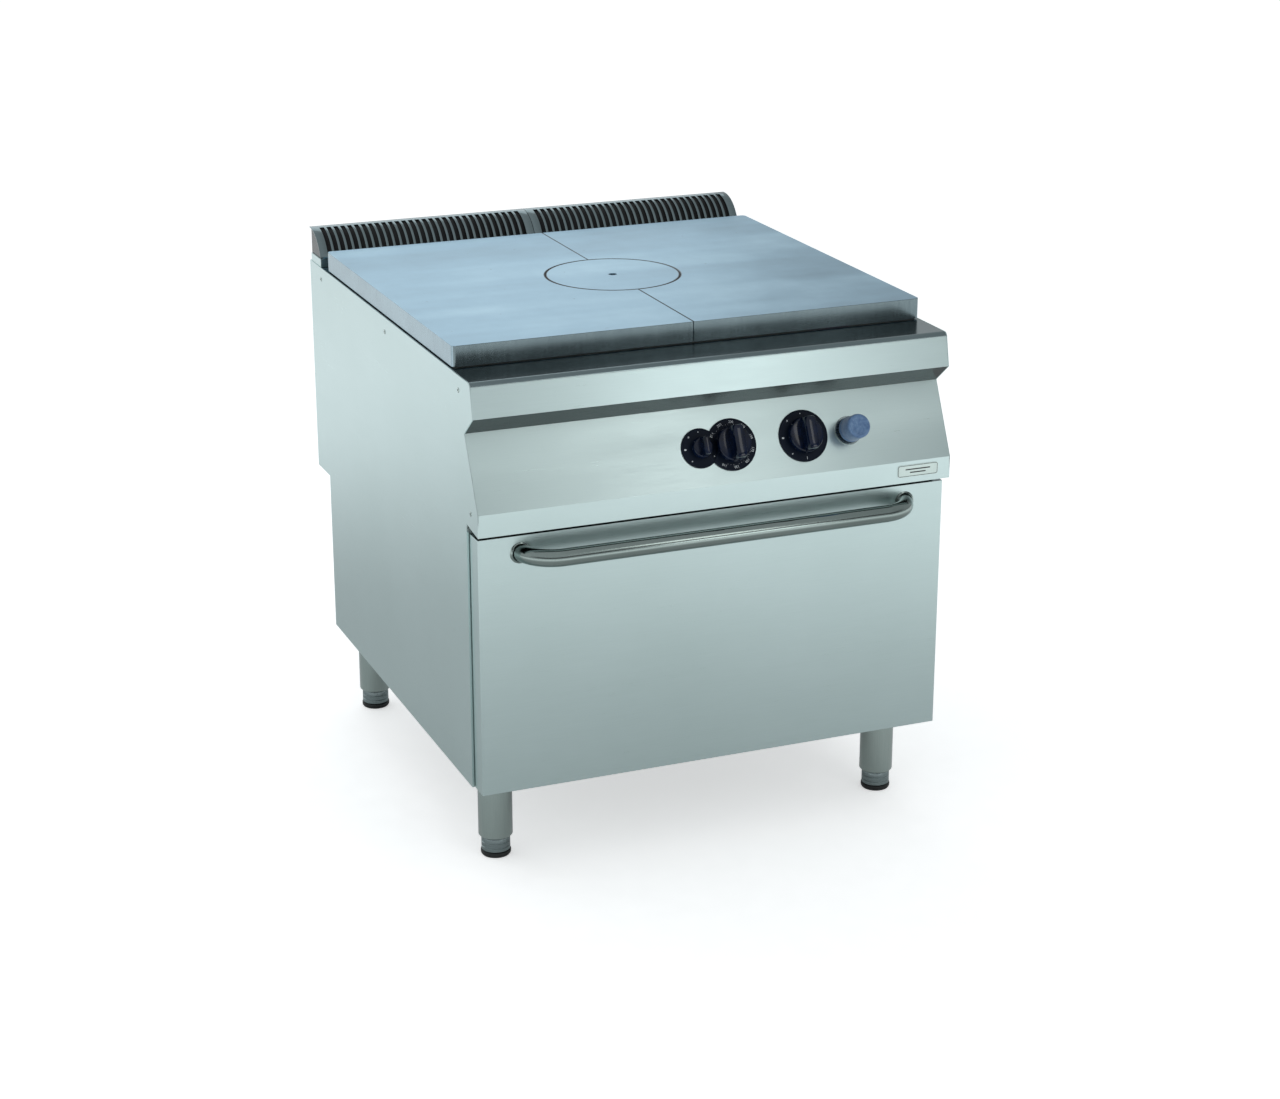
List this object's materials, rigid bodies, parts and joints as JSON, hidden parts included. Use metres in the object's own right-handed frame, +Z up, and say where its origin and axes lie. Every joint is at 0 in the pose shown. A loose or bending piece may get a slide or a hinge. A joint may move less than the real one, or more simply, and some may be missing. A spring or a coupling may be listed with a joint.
{
  "type": "gas solid-top range with static oven",
  "caption": "Free-standing commercial gas range: cast solid top with lift-out centre disc over a static oven with a drop-down door, sloping control panel, slotted flue and adjustable legs.",
  "frame": {"origin": "on the floor, at the centre of the footprint from the door handle to the rear edge", "axes": "+X to the right seen from the front, +Y to the back, +Z up"},
  "size_m": [0.8016, 0.9424, 0.874],
  "materials": {
    "satin_stainless": "satin",
    "polished_stainless": "satin",
    "machined_steel": "satin",
    "ground_cast_iron": "satin",
    "raw_cast_iron": "matte",
    "galvanised_steel": "satin",
    "aluminised_steel": "matte",
    "black_enamel": "gloss",
    "firebrick": "matte",
    "mineral_wool": "matte",
    "glass_rope": "matte",
    "chromed_wire": "polished",
    "black_bakelite": "gloss",
    "blue_silicone": "matte",
    "black_nylon": "matte",
    "gas_brass": "satin",
    "copper_pipe": "satin"
  },
  "bodies": {
    "cabinet": {"side_panel_left": "satin_stainless", "side_panel_right": "satin_stainless", "back_panel": "galvanised_steel", "base_tray": "galvanised_steel", "chassis_frame": "galvanised_steel", "worktop": "satin_stainless", "control_panel": "satin_stainless", "badge_plate": "polished_stainless", "burner_box": "aluminised_steel", "refractory_bricks": "firebrick", "hob_burner": "raw_cast_iron", "hob_burner_cap": "raw_cast_iron", "hob_pilot": "gas_brass", "solid_top_left": "ground_cast_iron", "solid_top_right": "ground_cast_iron", "flue_duct": "galvanised_steel", "flue_grille_left": "satin_stainless", "flue_grille_right": "satin_stainless", "flue_end_caps": "black_enamel", "flue_rail": "satin_stainless", "oven_liner": "polished_stainless", "oven_insulation": "mineral_wool", "oven_floor_plate": "raw_cast_iron", "oven_burner": "aluminised_steel", "shelf_runners": "chromed_wire", "oven_grid": "chromed_wire", "oven_face_frame": "polished_stainless", "thermostat_bulb": "copper_pipe", "door_gasket": "glass_rope", "hinge_brackets": "galvanised_steel", "dial_plate_oven": "black_bakelite", "dial_plate_hob": "black_bakelite", "valve_oven": "gas_brass", "thermostat_body": "gas_brass", "valve_hob": "gas_brass", "igniter_body": "machined_steel", "gas_supply_pipe": "galvanised_steel", "burner_pipes": "copper_pipe", "panel_screws": "polished_stainless", "leg_tubes": "polished_stainless"},
    "door": {"door_outer_panel": "satin_stainless", "door_inner_panel": "polished_stainless", "door_insulation": "mineral_wool", "door_handle": "polished_stainless", "hinge_arms": "galvanised_steel"},
    "spindle_oven": {"spindle_oven": "machined_steel"},
    "knob_oven": {"knob_oven": "black_bakelite"},
    "knob_thermostat": {"knob_thermostat": "black_bakelite"},
    "spindle_hob": {"spindle_hob": "machined_steel"},
    "knob_hob": {"knob_hob": "black_bakelite"},
    "igniter_button": {"igniter_button": "blue_silicone"},
    "centre_disc": {"centre_disc": "ground_cast_iron"},
    "foot_front_left": {"foot_front_left": "machined_steel", "pad_front_left": "black_nylon"},
    "foot_front_right": {"foot_front_right": "machined_steel", "pad_front_right": "black_nylon"},
    "foot_rear_left": {"foot_rear_left": "machined_steel", "pad_rear_left": "black_nylon"},
    "foot_rear_right": {"foot_rear_right": "machined_steel", "pad_rear_right": "black_nylon"}
  },
  "joints": [
    {"name": "door_hinge", "type": "hinge", "parent": "cabinet", "child": "door", "pos_m": [0, -0.38448, 0.156], "axis": [1, 0, 0], "range_deg": [0, 90], "stiffness_Nm_per_rad": 14, "springref_deg": -20.05},
    {"name": "oven_valve_push", "type": "slide", "parent": "cabinet", "child": "spindle_oven", "axis": [0, 0.9018, -0.4321], "range_m": [0, 0.005], "stiffness_N_per_m": 900, "springref_m": -0.004},
    {"name": "oven_valve_turn", "type": "hinge", "parent": "spindle_oven", "child": "knob_oven", "pos_m": [-0.0264, -0.42045, 0.68002], "axis": [0, -0.9018, 0.4321], "range_deg": [0, 180]},
    {"name": "thermostat_turn", "type": "hinge", "parent": "cabinet", "child": "knob_thermostat", "pos_m": [0.0265, -0.42045, 0.68002], "axis": [0, -0.9018, 0.4321], "range_deg": [-240, 60]},
    {"name": "hob_valve_push", "type": "slide", "parent": "cabinet", "child": "spindle_hob", "axis": [0, 0.9018, -0.4321], "range_m": [0, 0.005], "stiffness_N_per_m": 900, "springref_m": -0.004},
    {"name": "hob_valve_turn", "type": "hinge", "parent": "spindle_hob", "child": "knob_hob", "pos_m": [0.15, -0.42045, 0.68002], "axis": [0, -0.9018, 0.4321], "range_deg": [0, 150]},
    {"name": "igniter_push", "type": "slide", "parent": "cabinet", "child": "igniter_button", "axis": [0, 0.9018, -0.4321], "range_m": [0, 0.007], "stiffness_N_per_m": 1200, "springref_m": -0.004},
    {"name": "disc_lift", "type": "slide", "parent": "cabinet", "child": "centre_disc", "axis": [0, 0, 1], "range_m": [0, 0.12]},
    {"name": "foot_front_left_screw", "type": "slide", "parent": "cabinet", "child": "foot_front_left", "axis": [0, 0, -1], "range_m": [0, 0.05]},
    {"name": "foot_front_right_screw", "type": "slide", "parent": "cabinet", "child": "foot_front_right", "axis": [0, 0, -1], "range_m": [0, 0.05]},
    {"name": "foot_rear_left_screw", "type": "slide", "parent": "cabinet", "child": "foot_rear_left", "axis": [0, 0, -1], "range_m": [0, 0.05]},
    {"name": "foot_rear_right_screw", "type": "slide", "parent": "cabinet", "child": "foot_rear_right", "axis": [0, 0, -1], "range_m": [0, 0.05]}
  ]
}
